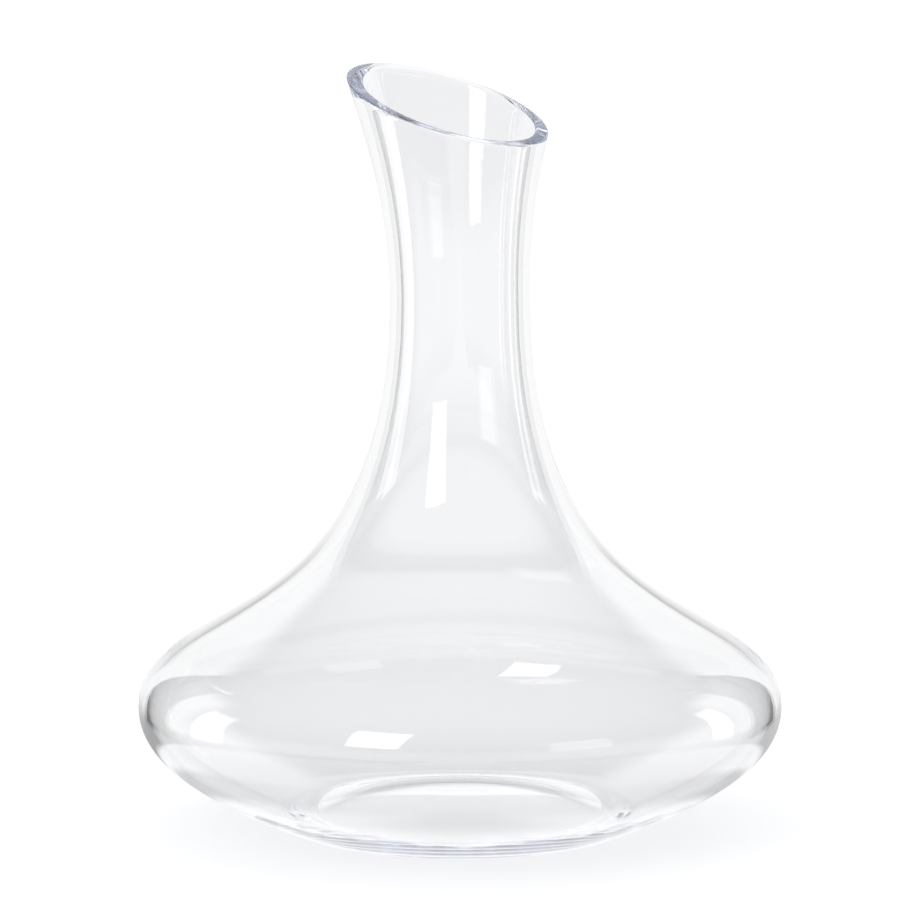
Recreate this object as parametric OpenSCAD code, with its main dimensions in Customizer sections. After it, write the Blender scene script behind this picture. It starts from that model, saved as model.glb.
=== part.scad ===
// Wine decanter, blown in one piece of clear glass: a squat bowl on a flat
// standing ring, a waisted neck, and a flared mouth cut flat on a slant.
// The axis is Z, the ring stands on Z = 0, and the mouth slopes down towards +X.

/* [Base] */
// Outer diameter of the flat ring that the decanter stands on
foot_d = 95; // [70:1:110]
// Width of that ring
foot_w = 3; // [2:0.5:12]
// Height of the push-up under the base, inside the ring
punt_h = 6.5; // [1:0.5:10]
// Glass between the push-up and the crown of the floor, on the axis
base_t = 4.5; // [3:0.5:12]
// Glass over the ring, at the lowest level of the floor
ring_t = 4.5; // [3:0.5:8]
// Radius that rounds the outside from the ring into the bowl
heel_r = 14; // [5:1:40]
// Radius that rounds the floor from its lowest level into the bowl
valley_r = 20; // [8:1:40]
// Slope of the bowl where it leaves those radii, in degrees
heel_angle = 21.5; // [14:0.5:26]
// Wall where the outside leaves the heel
heel_wall = 3; // [2:0.1:6]
// Share of the floor that runs level at its crown
crown_pull = 0.5; // [0.3:0.05:0.6]
// Share of the floor that runs level at its lowest
valley_pull = 0.15; // [0.05:0.05:0.4]

/* [Bowl] */
// Widest diameter of the bowl
belly_d = 200; // [160:1:240]
// Height of the widest level
belly_h = 39; // [32:1:60]
// Bend radius of the outside, in section, at the widest level
belly_bend = 21; // [12:1:32]
// Wall at the widest level
belly_wall = 3.2; // [2:0.1:6]
// Fullness of the bowl below the widest level
bowl_fullness = 0.73; // [0.5:0.01:0.85]

/* [Neck] */
// Outer diameter at the waist, where the neck is narrowest
waist_d = 43.2; // [34:0.2:54]
// Height of the waist
waist_h = 166; // [145:1:185]
// Bend radius of the outside, in section, at the waist
waist_bend = 224; // [120:1:260]
// Wall at the waist
waist_wall = 3.6; // [2:0.1:6]

/* [Mouth] */
// Height of the lip on its tall side
lip_h = 237; // [220:1:260]
// Outer diameter that the neck opens to at that height
mouth_d = 68; // [56:1:84]
// Angle by which the neck opens out at the lip, in degrees
flare = 14.5; // [8:0.5:25]
// Share of the flare that runs straight at the lip
flare_pull = 0.4; // [0.2:0.05:0.6]
// Wall at the lip
lip_wall = 4.6; // [2:0.1:6]
// Slant of the cut, in degrees
cut_angle = 19.5; // [0:0.5:28]

/* [Hidden] */
// Glass blown past the lip, which the cut takes off
overblow = 6;
// Straight pieces in each curve of the wall, and in each rounding of the base
curve_steps = 24;
round_steps = 6;
$fn = 120;

foot_r = foot_d / 2;
belly_r = belly_d / 2;
mouth_r = mouth_d / 2;
up = [0, 1];
slope_dir = [cos(heel_angle), sin(heel_angle)];
slope_side = [-sin(heel_angle), cos(heel_angle)];
flare_dir = [sin(flare), cos(flare)];
flare_side = [-cos(flare), sin(flare)];

// Length of a cubic's end handle that gives the curve this bend radius there,
// where its other handle ends this far to the side
function handle(bend, aside) = sqrt(2 / 3 * bend * aside);

// Points of a cubic curve after its start
function cubic(a, b, c, d) = [
    for (i = [1 : curve_steps])
        let (t = i / curve_steps, u = 1 - t)
        pow(u, 3) * a + 3 * pow(u, 2) * t * b + 3 * u * pow(t, 2) * c + pow(t, 3) * d
];

// Points after its start of a rounding that turns up from the level to the slope of the bowl
function rounding(start, radius) = [
    for (i = [1 : round_steps])
        let (angle = heel_angle * i / round_steps)
        start + radius * [sin(angle), 1 - cos(angle)]
];

function last_of(points) = points[len(points) - 1];

// Outside of the base, from the middle of the ground to the end of the heel
base_side = concat([[0, 0], [foot_r, 0]], rounding([foot_r, 0], heel_r));
heel_end = last_of(base_side);

// Floor of the bowl: it domes over the push-up, dips to its lowest level over the ring,
// and rounds up to a line that runs beside the outside
function floor_side() =
    let (
        beside = heel_end + heel_wall * slope_side,
        meet = [beside[0] + (ring_t - beside[1]) / tan(heel_angle), ring_t],
        valley = meet - [valley_r * tan(heel_angle / 2), 0],
        crown = [0, punt_h + base_t],
        crown_run = [crown_pull * valley[0], 0],
        valley_run = [valley_pull * valley[0], 0]
    )
    concat(
        [crown],
        cubic(crown, crown + crown_run, valley - valley_run, valley),
        rounding(valley, valley_r)
    );

// Bowl from the end of a rounding up to its widest level, set in by the wall there
function bowl_side(start, belly_in) =
    let (
        belly = [belly_r - belly_in, belly_h],
        slope = (belly[0] - start[0]) / cos(heel_angle),
        turn = start + bowl_fullness * slope * slope_dir
    )
    cubic(start, turn, belly - handle(belly_bend - belly_in, belly[0] - turn[0]) * up, belly);

// Shoulder, neck and flare, set in from the outside by the wall at each level
function upper_side(belly_in, waist_in, lip_in) =
    let (
        belly = [belly_r - belly_in, belly_h],
        waist = [waist_d / 2 - waist_in, waist_h],
        lip = [mouth_r, lip_h] + lip_in * flare_side,
        turn = lip - flare_pull * (lip[0] - waist[0]) / sin(flare) * flare_dir,
        belly_rise = handle(belly_bend - belly_in, belly[0] - waist[0]),
        waist_fall = handle(waist_bend + waist_in, belly[0] - waist[0]),
        waist_rise = handle(waist_bend + waist_in, turn[0] - waist[0])
    )
    concat(
        cubic(belly, belly + belly_rise * up, waist - waist_fall * up, waist),
        cubic(waist, waist + waist_rise * up, turn, lip),
        [lip + overblow * flare_dir]
    );

// Half section that starts on the axis, and is closed along it
module turned(side) {
    rotate_extrude() polygon(concat(side, [[0, last_of(side)[1]]]));
}

module blown_form() {
    turned(concat(base_side, bowl_side(heel_end, 0), upper_side(0, 0, 0)));
}

module hollow() {
    floor = floor_side();
    turned(concat(
        floor,
        bowl_side(last_of(floor), belly_wall),
        upper_side(belly_wall, waist_wall, lip_wall)
    ));
}

// Shallow dome under the base, which leaves the standing ring flat
module push_up() {
    rim_r = foot_r - foot_w;
    dome_r = (pow(rim_r, 2) + pow(punt_h, 2)) / (2 * punt_h);
    translate([0, 0, punt_h - dome_r]) sphere(dome_r);
}

// All that lies above the slanted cut, which passes through the tall lip
module mouth_cut() {
    reach = 2 * mouth_d;
    translate([-mouth_r, 0, lip_h])
        rotate([0, cut_angle, 0])
            translate([-reach / 2, -reach / 2, 0])
                cube([1.5 * reach, reach, reach]);
}

module glass_vessel() {
    color([0.88, 0.91, 0.94, 0.4])
        difference() {
            blown_form();
            hollow();
            push_up();
            mouth_cut();
        }
}

glass_vessel();
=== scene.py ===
import math

import bmesh
import bpy
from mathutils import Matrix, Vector


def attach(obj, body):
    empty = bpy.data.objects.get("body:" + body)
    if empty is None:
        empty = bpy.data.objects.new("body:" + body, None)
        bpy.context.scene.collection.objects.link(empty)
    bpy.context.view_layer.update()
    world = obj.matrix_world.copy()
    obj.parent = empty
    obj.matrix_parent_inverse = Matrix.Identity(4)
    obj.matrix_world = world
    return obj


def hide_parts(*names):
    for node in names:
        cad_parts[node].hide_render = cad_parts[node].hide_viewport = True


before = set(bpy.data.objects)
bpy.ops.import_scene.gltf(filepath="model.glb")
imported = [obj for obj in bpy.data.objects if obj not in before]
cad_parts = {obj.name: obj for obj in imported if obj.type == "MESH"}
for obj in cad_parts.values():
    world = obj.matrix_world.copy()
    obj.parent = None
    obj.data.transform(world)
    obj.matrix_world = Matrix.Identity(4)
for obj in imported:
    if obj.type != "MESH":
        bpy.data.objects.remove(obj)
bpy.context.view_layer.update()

scene = bpy.context.scene


# Camera: a long lens two metres away and a little above the vessel, turned so that the low
# side of the mouth comes to the right and towards the viewer.
view_azimuth = math.radians(38.5)
view_elevation = math.radians(8.2)
view_distance = 2.0
view_centre_h = 0.118
aim_h = 0.1157
lens = 252.8


def direction(azimuth, elevation):
    """Unit vector from the vessel's axis; azimuth 0 is -Y and turns towards +X."""
    flat = math.cos(elevation)
    return Vector((math.sin(azimuth) * flat, -math.cos(azimuth) * flat, math.sin(elevation)))


camera = bpy.data.objects.new("camera", bpy.data.cameras.new("camera"))
camera.data.lens = lens
camera.location = Vector((0, 0, view_centre_h)) + view_distance * direction(view_azimuth, view_elevation)
camera.rotation_euler = (Vector((0, 0, aim_h)) - camera.location).to_track_quat("-Z", "Y").to_euler()
scene.collection.objects.link(camera)
scene.camera = camera


# Glass vessel: colourless soda-lime glass, blown in one piece into a turned mould. The thin base is
# pushed up inside a standing ring, and the mouth was cut off on a slant, ground flat and polished.
foot_r = 0.0475
foot_w = 0.003
ring_edge = 0.0008
punt_h = 0.0065
base_t = 0.0045
ring_t = 0.0045
heel_r = 0.014
valley_r = 0.020
heel_angle = math.radians(21.5)
heel_wall = 0.003
crown_pull = 0.5
valley_pull = 0.15
belly_r = 0.100
belly_h = 0.039
belly_bend = 0.021
belly_wall = 0.0032
bowl_fullness = 0.73
waist_r = 0.0216
waist_h = 0.166
waist_bend = 0.224
waist_wall = 0.0036
lip_h = 0.237
mouth_r = 0.034
flare = math.radians(14.5)
flare_pull = 0.4
lip_wall = 0.0046
cut_angle = math.radians(19.5)
overblow = 0.006
lip_arris = 0.0006
tilt_from_h = 0.196
tilt_rings = 12
neck_lean = 0.0023
lean_power = 1.2
curve_steps = 28
turn_steps = 192
arris_steps = 4
weld_gap = 1e-6
cut_gap = 1e-7


def handle(bend, aside):
    """Length of a curve's end handle for this bend radius, where the other handle ends this far aside."""
    return math.sqrt(2 / 3 * bend * aside)


def knot(place, before=(0, 0), after=(0, 0)):
    """A point of the half section, as radius and height, with the handles on its two sides."""
    place = Vector(place)
    return place, place + Vector(before), place + Vector(after)


def bowl_knots(start, before, belly_in):
    """Bowl from the end of a rounding up to its widest level, set in by the wall there."""
    run = bowl_fullness * (belly_r - belly_in - start.x)
    belly_fall = handle(belly_bend - belly_in, belly_r - belly_in - start.x - run)
    return [
        knot(start, before=before, after=run / slope.x * slope),
        knot((belly_r - belly_in, belly_h), before=(0, -belly_fall)),
    ]


def upper_knots(belly_in, waist_in, lip_in):
    """Shoulder, neck and flare, set in from the outside by the wall at each level."""
    out = Vector((math.sin(flare), math.cos(flare)))
    belly = Vector((belly_r - belly_in, belly_h))
    waist = Vector((waist_r - waist_in, waist_h))
    lip = Vector((mouth_r, lip_h)) + lip_in * Vector((-math.cos(flare), math.sin(flare)))
    fall = flare_pull * (lip.x - waist.x) / math.sin(flare)
    belly_rise = handle(belly_bend - belly_in, belly.x - waist.x)
    waist_fall = handle(waist_bend + waist_in, belly.x - waist.x)
    waist_rise = handle(waist_bend + waist_in, lip.x - fall * out.x - waist.x)
    return [
        knot(belly, after=(0, belly_rise)),
        knot(waist, before=(0, -waist_fall), after=(0, waist_rise)),
        knot(lip, before=-fall * out),
        knot(lip + overblow * out),
    ]


def joined(lower, upper):
    """Two runs of knots that share one, which takes its handle below from one and above from the other."""
    place, before, _ = lower[-1]
    return lower[:-1] + [(place, before, upper[0][2])] + upper[1:]


slope = Vector((math.cos(heel_angle), math.sin(heel_angle)))
slope_side = Vector((-slope.y, slope.x))
arc_handle = 4 / 3 * math.tan(heel_angle / 4)
rounded_end = Vector((math.sin(heel_angle), 1 - math.cos(heel_angle)))

# The push-up is a shallow dome whose edge runs out softly onto the flat standing ring.
ring_r = foot_r - foot_w
dome_r = ring_r - ring_edge
dome_end = Vector((dome_r, punt_h * (1 - (dome_r / ring_r) ** 2)))
dome_slope = Vector((1, -2 * punt_h / ring_r))
heel_end = Vector((foot_r, 0)) + heel_r * rounded_end
outside = joined(
    [
        knot((0, punt_h), after=(dome_r / 3, 0)),
        knot(dome_end, before=-dome_r / 3 * dome_slope, after=2 / 3 * ring_edge * dome_slope),
        knot((ring_r + ring_edge, 0), before=(-2 / 3 * ring_edge, 0)),
        knot((foot_r, 0), after=(arc_handle * heel_r, 0)),
    ] + bowl_knots(heel_end, -arc_handle * heel_r * slope, 0),
    upper_knots(0, 0, 0),
)

# The floor domes over the push-up, dips over the ring, and rounds up to a line beside the outside.
beside = heel_end + heel_wall * slope_side
meet_r = beside.x + (ring_t - beside.y) / math.tan(heel_angle)
valley = Vector((meet_r - valley_r * math.tan(heel_angle / 2), ring_t))
inside = joined(
    [
        knot((0, punt_h + base_t), after=(crown_pull * valley.x, 0)),
        knot(valley, before=(-valley_pull * valley.x, 0), after=(arc_handle * valley_r, 0)),
    ] + bowl_knots(valley + valley_r * rounded_end, -arc_handle * valley_r * slope, belly_wall),
    upper_knots(belly_wall, waist_wall, lip_wall),
)

section = bpy.data.curves.new("half_section", "CURVE")
section.dimensions = "3D"
section.resolution_u = curve_steps
wall = outside + [(place, after, before) for place, before, after in reversed(inside)]
spline = section.splines.new("BEZIER")
spline.bezier_points.add(len(wall) - 1)
for point, (place, before, after) in zip(spline.bezier_points, wall):
    point.co = place.x, 0, place.y
    point.handle_left = before.x, 0, before.y
    point.handle_right = after.x, 0, after.y
section_object = bpy.data.objects.new("half_section", section)
section_mesh = bpy.data.meshes.new_from_object(section_object)
bpy.data.objects.remove(section_object)

glass = bmesh.new()
glass.from_mesh(section_mesh)
bmesh.ops.remove_doubles(glass, verts=glass.verts, dist=weld_gap)
bmesh.ops.spin(
    glass, geom=glass.verts[:] + glass.edges[:], cent=(0, 0, 0), axis=(0, 0, 1),
    angle=2 * math.pi, steps=turn_steps, use_merge=True, use_duplicate=False,
)
bmesh.ops.remove_doubles(glass, verts=glass.verts, dist=weld_gap)
bmesh.ops.recalc_face_normals(glass, faces=glass.faces)

# Level rings above the waist give way to rings that tilt by degrees to the slant of the mouth.
for e in glass.edges:
    low, high = sorted(v.co.z for v in e.verts)
    e.seam = low > tilt_from_h and high - low < weld_gap
for step in range(1, tilt_rings + 1):
    share = step / tilt_rings
    tilt = cut_angle * share
    bmesh.ops.bisect_plane(
        glass, geom=glass.verts[:] + glass.edges[:] + glass.faces[:], dist=cut_gap,
        plane_co=(-mouth_r, 0, tilt_from_h + (lip_h - tilt_from_h) * share),
        plane_no=(math.sin(tilt), 0, math.cos(tilt)), clear_outer=share == 1,
    )
level_edges = [e for e in glass.edges if e.seam]
bmesh.ops.dissolve_edges(glass, edges=level_edges, use_verts=True)

rims = [e for e in glass.edges if e.is_boundary]
bmesh.ops.bridge_loops(glass, edges=rims)
bmesh.ops.bevel(
    glass, geom=rims, offset=lip_arris, affect="EDGES", segments=arris_steps, profile=0.5, material=-1,
)

# The neck leans a little towards its tall side, as blown necks do.
for v in glass.verts:
    if v.co.z > waist_h:
        v.co.x -= neck_lean * ((v.co.z - waist_h) / (lip_h - waist_h)) ** lean_power
bmesh.ops.recalc_face_normals(glass, faces=glass.faces)
for f in glass.faces:
    f.smooth = True
vessel_mesh = bpy.data.meshes.new("glass_vessel_blown")
glass.to_mesh(vessel_mesh)
glass.free()
vessel = bpy.data.objects.new("glass_vessel_blown", vessel_mesh)
scene.collection.objects.link(vessel)


class Shade:
    """A socket in a node tree. Its sums add Math nodes, and node() adds any other node."""

    def __init__(self, tree, socket=None):
        self.tree = tree
        self.socket = socket

    def node(self, kind, settings=None, inputs=None, output=0):
        made = self.tree.nodes.new(kind)
        for name, value in (settings or {}).items():
            setattr(made, name, value)
        for name, value in (inputs or {}).items():
            if isinstance(value, Shade):
                self.tree.links.new(value.socket, made.inputs[name])
            else:
                made.inputs[name].default_value = value
        return Shade(self.tree, made.outputs[output] if made.outputs else None)

    def math(self, operation, first, second=0.0):
        return self.node("ShaderNodeMath", {"operation": operation}, {0: first, 1: second})

    def vector(self, operation, second, output=0):
        return self.node("ShaderNodeVectorMath", {"operation": operation}, {0: self, 1: second}, output)

    def __add__(self, other):
        return self.math("ADD", self, other)

    def __sub__(self, other):
        return self.math("SUBTRACT", self, other)

    def __rsub__(self, other):
        return self.math("SUBTRACT", other, self)

    def __mul__(self, other):
        return self.math("MULTIPLY", self, other)

    def larger(self, other):
        return self.math("MAXIMUM", self, other)

    def off(self, value):
        """How far this value is from another, to either side."""
        return self.math("ABSOLUTE", self - value)

    def fade(self, start, end, low, high):
        """This value eased from low at its start to high at its end."""
        return self.node("ShaderNodeMapRange", {"interpolation_type": "SMOOTHSTEP"}, {
            "Value": self, "From Min": start, "From Max": end, "To Min": low, "To Max": high,
        })

    def along(self, axis):
        """Length of this vector along an axis."""
        return self.vector("DOT_PRODUCT", axis, "Value")

    def distance(self, place):
        return self.vector("DISTANCE", place, "Value")

    __radd__ = __add__
    __rmul__ = __mul__


def material(name):
    """A new material with an empty node tree, and the start of its shading."""
    made = bpy.data.materials.new(name)
    made.use_nodes = True
    made.node_tree.nodes.clear()
    return made, Shade(made.node_tree)


# The surface has a slow ripple, and finer cords low down round the heel. The cords set in between the
# two radii of heel_start, and die away between the two heights of heel_top.
glass_ior = 1.51
glass_tint = (0.59, 0.68, 0.88, 1)
glass_tint_per_m = 3.0
ripple_per_m = 28.0
ripple_strength = 0.02
ripple_depth = 0.002
cords_per_m = 75.0
heel_cords = 1.6
heel_start = (0.038, 0.047)
heel_top = (0.008, 0.022)
noise_detail = 1.0
noise_middle = 0.5


def noise(place, per_m):
    """Soft noise over the glass, with about this many waves to the metre."""
    return place.node("ShaderNodeTexNoise", inputs={"Vector": place, "Scale": per_m, "Detail": noise_detail})


clear_glass, shade = material("clear_glass")
place = shade.node("ShaderNodeTexCoord", output="Object")
ripple = noise(place, ripple_per_m)
cords = noise(place, cords_per_m)
heel = place.vector("MULTIPLY", (1, 1, 0)).distance((0, 0, 0)).fade(*heel_start, 0.0, heel_cords)
heel = heel * place.along((0, 0, 1)).fade(*heel_top, 1.0, 0.0)
height = ripple + (cords - noise_middle) * heel
bump = shade.node("ShaderNodeBump", inputs={
    "Height": height, "Strength": ripple_strength, "Distance": ripple_depth,
})
surface = shade.node("ShaderNodeBsdfPrincipled", inputs={
    "Base Color": (1, 1, 1, 1),
    "Roughness": 0.0,
    "IOR": glass_ior,
    "Transmission Weight": 1.0,
    "Normal": bump,
})
tint = shade.node("ShaderNodeVolumeAbsorption", inputs={"Color": glass_tint, "Density": glass_tint_per_m})
shade.node("ShaderNodeOutputMaterial", inputs={"Surface": surface, "Volume": tint})
vessel_mesh.materials.append(clear_glass)
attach(vessel, "root")
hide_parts("glass_vessel")


# Floor: a plain white floor, white to the eye and through the glass, that keeps the soft shadow of
# the vessel; seen through the glass it has painted light near the vessel that lifts that shadow. The
# glass mirrors it as a round table and a strip of paper, with a dark gap beside them that fades out
# behind, a painted pool of light on the table round the foot, and a painted shadow ring of the bowl.
# Each pair of distances is where an edge starts to fade and where it ends.
floor_r = 30.0
floor_segments = 96
floor_drop = 0.0001
floor_shaded = 0.3
floor_tint = (0.98, 0.985, 1, 1)
floor_glow = 0.77
through_glow = 0.65
# Painted light: seen through the glass, the floor is brighter near the vessel, to lift its shadow.
painted_near_light = 0.68
painted_near_light_edge = (0.12, 0.40)
table_r = 0.213
table_forward = 0.12
table_level = 0.9
# Painted light: in reflections the table is brighter round the foot, as a pool of light under the vessel.
painted_foot_light = 1.15
painted_foot_light_edge = (0.060, 0.075)
strip_half = 0.091
gap_edge = (0.25, 0.52)
gap_left = 0.28
gap_right = 0.45
edge_blur = 0.006
bowl_shadow = 0.4
bowl_shadow_r = 0.095
bowl_shadow_edge = (0.007, 0.019)
away = -direction(view_azimuth, 0)
sideways = away.cross(Vector((0, 0, 1)))

plate = bmesh.new()
bmesh.ops.create_circle(plate, cap_ends=True, segments=floor_segments, radius=floor_r)
floor_mesh = bpy.data.meshes.new("floor")
plate.to_mesh(floor_mesh)
plate.free()
floor = bpy.data.objects.new("floor", floor_mesh)
floor.location.z = -floor_drop
scene.collection.objects.link(floor)


def light_path(shade, output):
    """One of the facts about the ray that is being shaded."""
    return shade.node("ShaderNodeLightPath", output=output)


def in_reflections(shade):
    """1 for a ray that the glass has mirrored, and 0 for one that came straight or only through it."""
    return shade.math("MINIMUM", light_path(shade, "Glossy Depth"), 1.0)


paper, shade = material("studio_paper")
through = light_path(shade, "Is Transmission Ray")
seen = light_path(shade, "Is Camera Ray").larger(light_path(shade, "Is Glossy Ray")).larger(through)
mirrored = in_reflections(shade)
spot = shade.node("ShaderNodeTexCoord", output="Object")
reach = spot.distance((0, 0, 0))
# Seen through the glass, the floor has painted light near the vessel that lifts its shadow.
straight = floor_glow + through * (reach.fade(*painted_near_light_edge, painted_near_light, through_glow) - floor_glow)
off_middle = spot.distance(-table_forward * away)
off_strip = spot.along(sideways).off(0.0).fade(strip_half - edge_blur, strip_half + edge_blur, 0.0, 1.0)
off_table = off_strip * off_middle.fade(table_r - edge_blur, table_r + edge_blur, 0.0, 1.0)
off_gap = off_strip * off_middle.fade(*gap_edge, 0.0, 1.0)
gap = spot.along(sideways).fade(-strip_half, strip_half, gap_left, gap_right)
shadow = reach.off(bowl_shadow_r).fade(*bowl_shadow_edge, bowl_shadow, 0.0)
# The mirrored table, with a painted pool of light round the foot and a painted shadow ring of the bowl.
table = reach.fade(*painted_foot_light_edge, painted_foot_light, table_level) * (1 - shadow)
level = (1 - mirrored) * straight + mirrored * (table + off_table * (gap - table))
matt = shade.node("ShaderNodeBsdfDiffuse", inputs={"Color": (floor_shaded, floor_shaded, floor_shaded, 1)})
glow = shade.node("ShaderNodeEmission", inputs={"Color": floor_tint, "Strength": seen * level})
both = shade.node("ShaderNodeAddShader", inputs={0: matt, 1: glow})
gone = shade.node("ShaderNodeBsdfTransparent")
top = shade.node("ShaderNodeMixShader", inputs={0: mirrored * off_gap, 1: both, 2: gone})
shade.node("ShaderNodeOutputMaterial", inputs={"Surface": top})
floor_mesh.materials.append(paper)


# Flags: two dark cards beside the vessel, cut to a slant at the back. Only the glass's reflections
# show them, as the dark lines at the edges that set clear glass off from a white background.
flag_aside = 0.18
flag_front = 0.03
flag_back_low = 0.17
flag_back_high = 0.06
flag_low = -0.1
flag_high = 0.4
flag_level = 0.13

flag_corners = [
    (flag_front, flag_low), (flag_back_low, flag_low),
    (flag_back_high, flag_high), (flag_front, flag_high),
]
cards = bmesh.new()
for side in (-1, 1):
    cards.faces.new([
        cards.verts.new(side * flag_aside * sideways + depth * away + Vector((0, 0, height)))
        for depth, height in flag_corners
    ])
flag_mesh = bpy.data.meshes.new("flags")
cards.to_mesh(flag_mesh)
cards.free()
flags = bpy.data.objects.new("flags", flag_mesh)
flags.visible_camera = False
flags.visible_diffuse = False
flags.visible_shadow = False
scene.collection.objects.link(flags)

dark_card, shade = material("dark_card")
dim = shade.node("ShaderNodeEmission", inputs={"Color": (1, 1, 1, 1), "Strength": flag_level})
gone = shade.node("ShaderNodeBsdfTransparent")
face = shade.node("ShaderNodeMixShader", inputs={0: in_reflections(shade), 1: gone, 2: dim})
shade.node("ShaderNodeOutputMaterial", inputs={"Surface": face})
flag_mesh.materials.append(dark_card)


# Studio: white all round to the eye and through the glass. The glass mirrors a dim room with a white
# backdrop behind the vessel, which is darker low in its middle, and a pale floor all round. The pairs
# are parts of a unit direction: the part straight back for the sides, and the rise for the others.
room_level = 0.14
backdrop_level = 0.97
backdrop_sides = (0.3, 0.5)
backdrop_top = (0.5, 0.65)
dip_depth = 0.75
dip_sides = (0.93, 0.96)
dip_rise = 0.07
dip_edge = (0.07, 0.10)
pale_floor = 0.9
pale_floor_top = (0.0, 0.3)
box_distance = 1.5
bounces = 96

world = bpy.data.worlds.new("studio")
world.use_nodes = True
world.node_tree.nodes.clear()
scene.world = world
shade = Shade(world.node_tree)
mirrored = in_reflections(shade)
look = shade.node("ShaderNodeTexCoord", output="Generated")
rise = look.along((0, 0, 1))
behind = look.vector("MULTIPLY", (1, 1, 0)).vector("NORMALIZE", (0, 0, 0)).along(away)
dip = behind.fade(*dip_sides, 0.0, dip_depth) * rise.off(dip_rise).fade(*dip_edge, 1.0, 0.0)
backdrop = behind.fade(*backdrop_sides, 0.0, 1.0) * rise.fade(*backdrop_top, 1.0, 0.0) * (1 - dip)
lit = backdrop.larger(rise.fade(*pale_floor_top, pale_floor, 0.0))
level = 1 - mirrored * (1 - room_level - (backdrop_level - room_level) * lit)
sky = shade.node("ShaderNodeBackground", inputs={"Color": (1, 1, 1, 1), "Strength": level})
shade.node("ShaderNodeOutputWorld", inputs={"Surface": sky})


def soft_box(name, azimuth, elevation, width, height, radiance):
    """A lamp that faces the vessel, placed by its angles from the camera's side, and hidden from the eye."""
    data = bpy.data.lights.new(name, "AREA")
    data.shape = "RECTANGLE"
    data.size = width
    data.size_y = height
    data.energy = radiance * math.pi * width * height
    lamp = bpy.data.objects.new(name, data)
    towards = direction(view_azimuth + math.radians(azimuth), math.radians(elevation))
    lamp.location = Vector((0, 0, view_centre_h)) + box_distance * towards
    lamp.rotation_euler = (-towards).to_track_quat("-Z", "Y").to_euler()
    lamp.visible_camera = False
    scene.collection.objects.link(lamp)


soft_box("key_box", azimuth=-31, elevation=26, width=0.50, height=0.80, radiance=3.5)
soft_box("fill_box", azimuth=43, elevation=12, width=0.60, height=0.42, radiance=1.0)
soft_box("left_box", azimuth=-99.5, elevation=-5, width=0.42, height=1.60, radiance=2.2)
soft_box("right_box", azimuth=105, elevation=-4, width=0.27, height=1.60, radiance=2.2)

scene.view_settings.view_transform = "Standard"
scene.cycles.max_bounces = bounces
scene.cycles.glossy_bounces = bounces
scene.cycles.transmission_bounces = bounces
